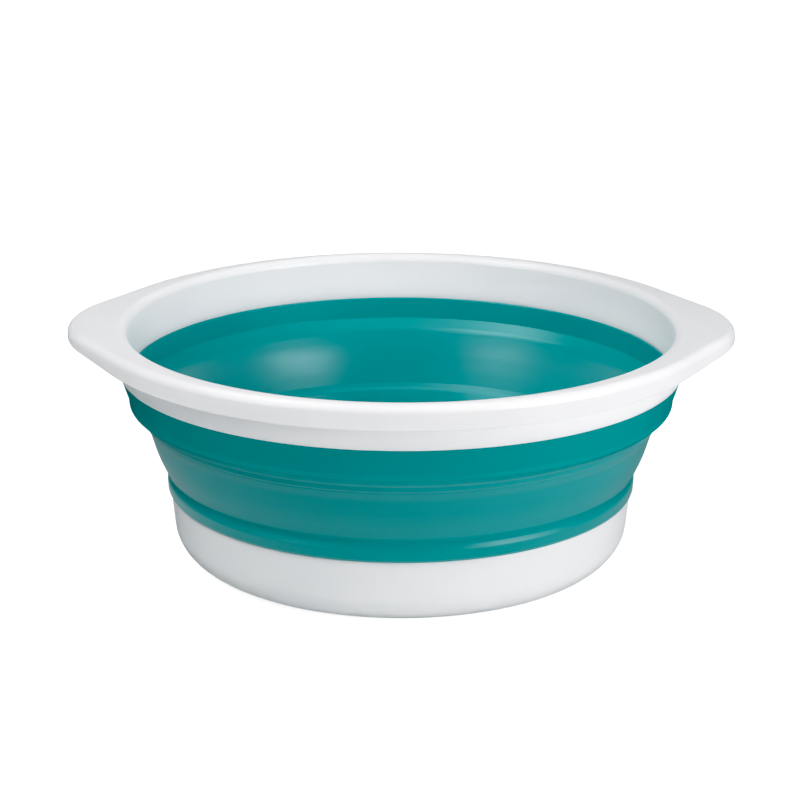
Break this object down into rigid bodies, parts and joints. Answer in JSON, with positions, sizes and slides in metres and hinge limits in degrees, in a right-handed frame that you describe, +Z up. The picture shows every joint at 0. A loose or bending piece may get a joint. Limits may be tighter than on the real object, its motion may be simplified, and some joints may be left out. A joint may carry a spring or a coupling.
{
  "type": "collapsible pet bathtub",
  "caption": "Round collapsible washing tub for a small pet: stiff rim with two flat ears, rubbery wall that folds at two creases, and stiff base pan.",
  "frame": {"origin": "centre of the foot ring's underside, on the ground, below the middle of the whole object", "axes": "+Z up out of the mouth, +X through one ear, so both ears lie along X"},
  "size_m": [0.38, 0.3314, 0.1356],
  "materials": {
    "white_polypropylene": "semi-gloss moulded polypropylene",
    "teal_rubber": "satin moulded thermoplastic rubber"
  },
  "bodies": {
    "base": {"base_pan": "white_polypropylene", "lower_collar": "teal_rubber"},
    "fold": {"fold_band": "teal_rubber"},
    "rim": {"upper_collar": "teal_rubber", "rim_frame": "white_polypropylene"}
  },
  "joints": [
    {"name": "rim_slide", "type": "slide", "parent": "base", "child": "rim", "axis": [0, 0, 1], "range_m": [-0.0728, 0]},
    {"name": "fold_slide", "type": "slide", "parent": "base", "child": "fold", "axis": [0, 0, 1], "range_m": [-0.0364, 0]}
  ],
  "couplings": [
    {"joint": "fold_slide", "follows": "rim_slide", "ratio": 0.5}
  ]
}
